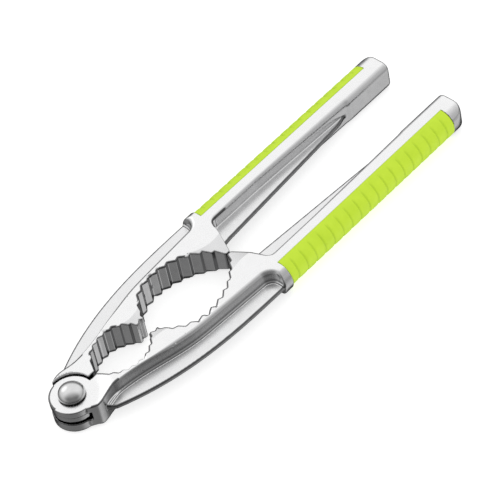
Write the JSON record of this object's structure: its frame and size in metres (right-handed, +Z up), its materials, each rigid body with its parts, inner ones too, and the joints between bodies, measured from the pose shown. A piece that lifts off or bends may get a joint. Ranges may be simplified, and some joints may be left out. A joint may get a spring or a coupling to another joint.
{
  "type": "nutcracker",
  "caption": "Hand nutcracker with two toothed die-cast lever arms on a domed rivet and ribbed lime-green soft grips; opens and closes about the pivot.",
  "frame": {"origin": "on the pivot axis, in the plane that the closed tool lies on", "axes": "+X from the pivot towards the handle tips, +Y towards the arm whose tongue fits in the knuckle, +Z up along the pivot, out of the domed rivet head"},
  "size_m": [0.1997, 0.0534, 0.016],
  "materials": {
    "cast_metal": "satin polished die-cast zinc",
    "rivet_steel": "satin steel",
    "washer_steel": "plain spring steel",
    "soft_grip": "matt soft elastomer, lime green",
    "core_plastic": "plain moulded"
  },
  "bodies": {
    "fork_side": {"fork_arm": "cast_metal", "pivot_rivet": "rivet_steel", "friction_washer": "washer_steel", "fork_grip": "soft_grip", "fork_grip_core": "core_plastic"},
    "tongue_side": {"tongue_arm": "cast_metal", "tongue_grip": "soft_grip", "tongue_grip_core": "core_plastic"}
  },
  "joints": [
    {"name": "arm_pivot", "type": "hinge", "parent": "fork_side", "child": "tongue_side", "pos_m": [0, 0, 0.0064], "axis": [0, 0, 1], "range_deg": [0, 150]}
  ]
}
